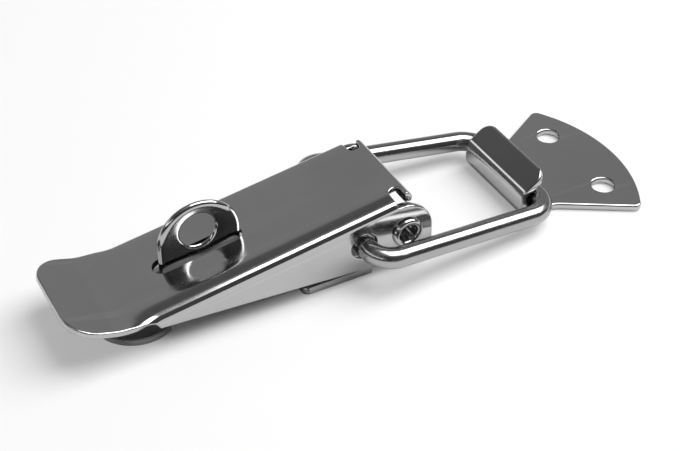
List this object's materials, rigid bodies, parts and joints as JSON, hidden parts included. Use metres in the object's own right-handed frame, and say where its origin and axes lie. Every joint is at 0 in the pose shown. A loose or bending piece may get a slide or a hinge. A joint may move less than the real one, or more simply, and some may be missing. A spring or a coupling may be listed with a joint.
{
  "type": "over centre toggle latch",
  "caption": "Flat over-centre toggle latch of folded sheet with a wire bail, a hooked keeper plate and a padlock staple through the lever.",
  "frame": {"origin": "centre of the base's pad screw hole, on the panel that the latch is screwed to", "axes": "+X along the latch, from the lever's finger tip to the keeper; +Z away from the panel; +Y across it"},
  "size_m": [0.1202, 0.0366, 0.0211],
  "materials": {
    "polished_steel": "polished stainless sheet, tumbled edges",
    "rivet_steel": "polished stainless rivet, rolled rim",
    "wire_steel": "polished stainless wire"
  },
  "bodies": {
    "base": {"base_plate": "polished_steel", "keeper_plate": "polished_steel", "pivot_rivet_front": "rivet_steel", "pivot_rivet_back": "rivet_steel"},
    "lever": {"lever": "polished_steel"},
    "bail": {"bail": "wire_steel"}
  },
  "joints": [
    {"name": "lever_pivot", "type": "hinge", "parent": "base", "child": "lever", "pos_m": [0.0499, 0, 0.0084], "axis": [0, 1, 0], "range_deg": [0, 110]},
    {"name": "bail_pivot", "type": "hinge", "parent": "lever", "child": "bail", "pos_m": [0.0412, 0, 0.0083], "axis": [0, 1, 0], "range_deg": [-98, 0]}
  ],
  "couplings": [
    {"joint": "bail_pivot", "follows": "lever_pivot", "ratio": -0.89}
  ]
}
